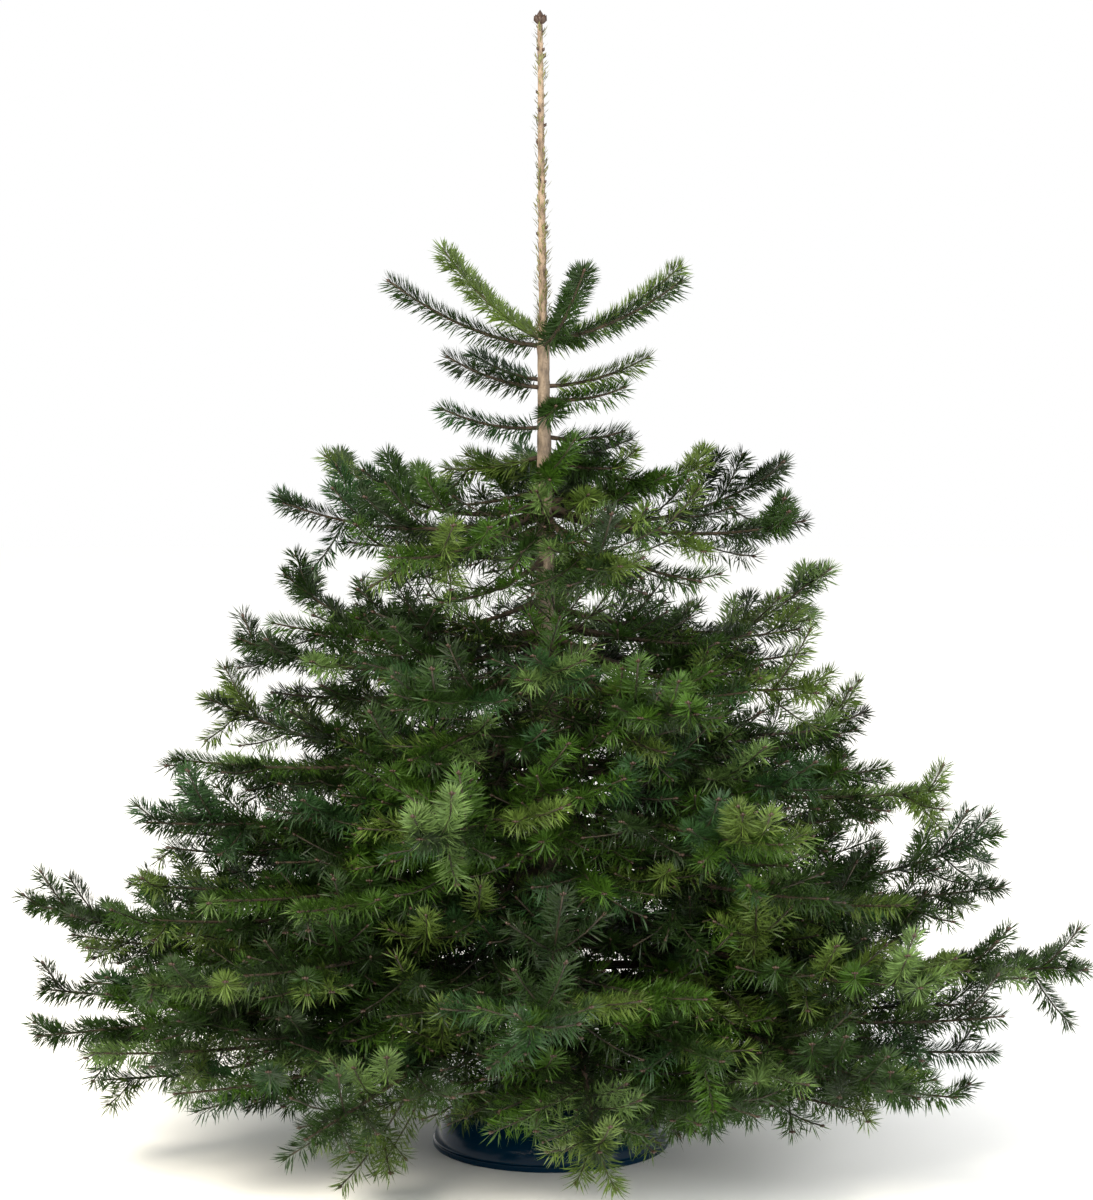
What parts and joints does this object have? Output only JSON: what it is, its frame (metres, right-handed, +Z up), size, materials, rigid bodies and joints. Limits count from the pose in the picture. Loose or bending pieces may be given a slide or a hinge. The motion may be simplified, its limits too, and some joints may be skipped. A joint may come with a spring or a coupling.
{
  "type": "cut fir christmas tree in a low round stand",
  "caption": "Cut young fir with a long bare leader and whorls of flat needled boughs, standing in a low round water stand.",
  "frame": {"origin": "centre of the stand's flat underside", "axes": "+Z up along the trunk, -Y towards the tree's front, +X to the right as seen from the front"},
  "size_m": [1.4139, 1.2063, 1.5],
  "materials": {
    "bark": "smooth grey-beige young bark, tan on the leader",
    "bough": "thin brown bark",
    "needles": "waxy deep green needles",
    "stand": "glossy dark blue moulding"
  },
  "bodies": {
    "root": {"bough_lower_1": "bough", "bough_lower_2": "bough", "bough_lower_3": "bough", "bough_lower_4": "bough", "bough_lower_5": "bough", "bough_lower_6": "bough", "bough_lowest_1": "bough", "bough_lowest_2": "bough", "bough_lowest_3": "bough", "bough_lowest_4": "bough", "bough_lowest_5": "bough", "bough_lowest_6": "bough", "needles_between_1": "needles", "needles_between_2": "needles", "needles_between_3": "needles", "needles_between_4": "needles", "needles_between_5": "needles", "needles_between_6": "needles", "needles_between_7": "needles", "needles_between_8": "needles", "needles_broad_1": "needles", "needles_broad_2": "needles", "needles_broad_3": "needles", "needles_broad_4": "needles", "needles_broad_5": "needles", "needles_broad_6": "needles", "needles_broad_7": "needles", "needles_crown_1": "needles", "needles_crown_2": "needles", "needles_crown_3": "needles", "needles_crown_4": "needles", "needles_crown_5": "needles", "needles_lower_1": "needles", "needles_lower_2": "needles", "needles_lower_3": "needles", "needles_lower_4": "needles", "needles_lower_5": "needles", "needles_lower_6": "needles", "needles_lowest_1": "needles", "needles_lowest_2": "needles", "needles_lowest_3": "needles", "needles_lowest_4": "needles", "needles_lowest_5": "needles", "needles_lowest_6": "needles", "needles_middle_1": "needles", "needles_middle_2": "needles", "needles_middle_3": "needles", "needles_middle_4": "needles", "needles_middle_5": "needles", "needles_middle_6": "needles", "needles_middle_7": "needles", "needles_upper_1": "needles", "needles_upper_2": "needles", "needles_upper_3": "needles", "needles_upper_4": "needles", "needles_upper_5": "needles", "needles_upper_6": "needles", "needles_upper_7": "needles", "stand": "stand", "trunk": "bark"}
  },
  "joints": []
}
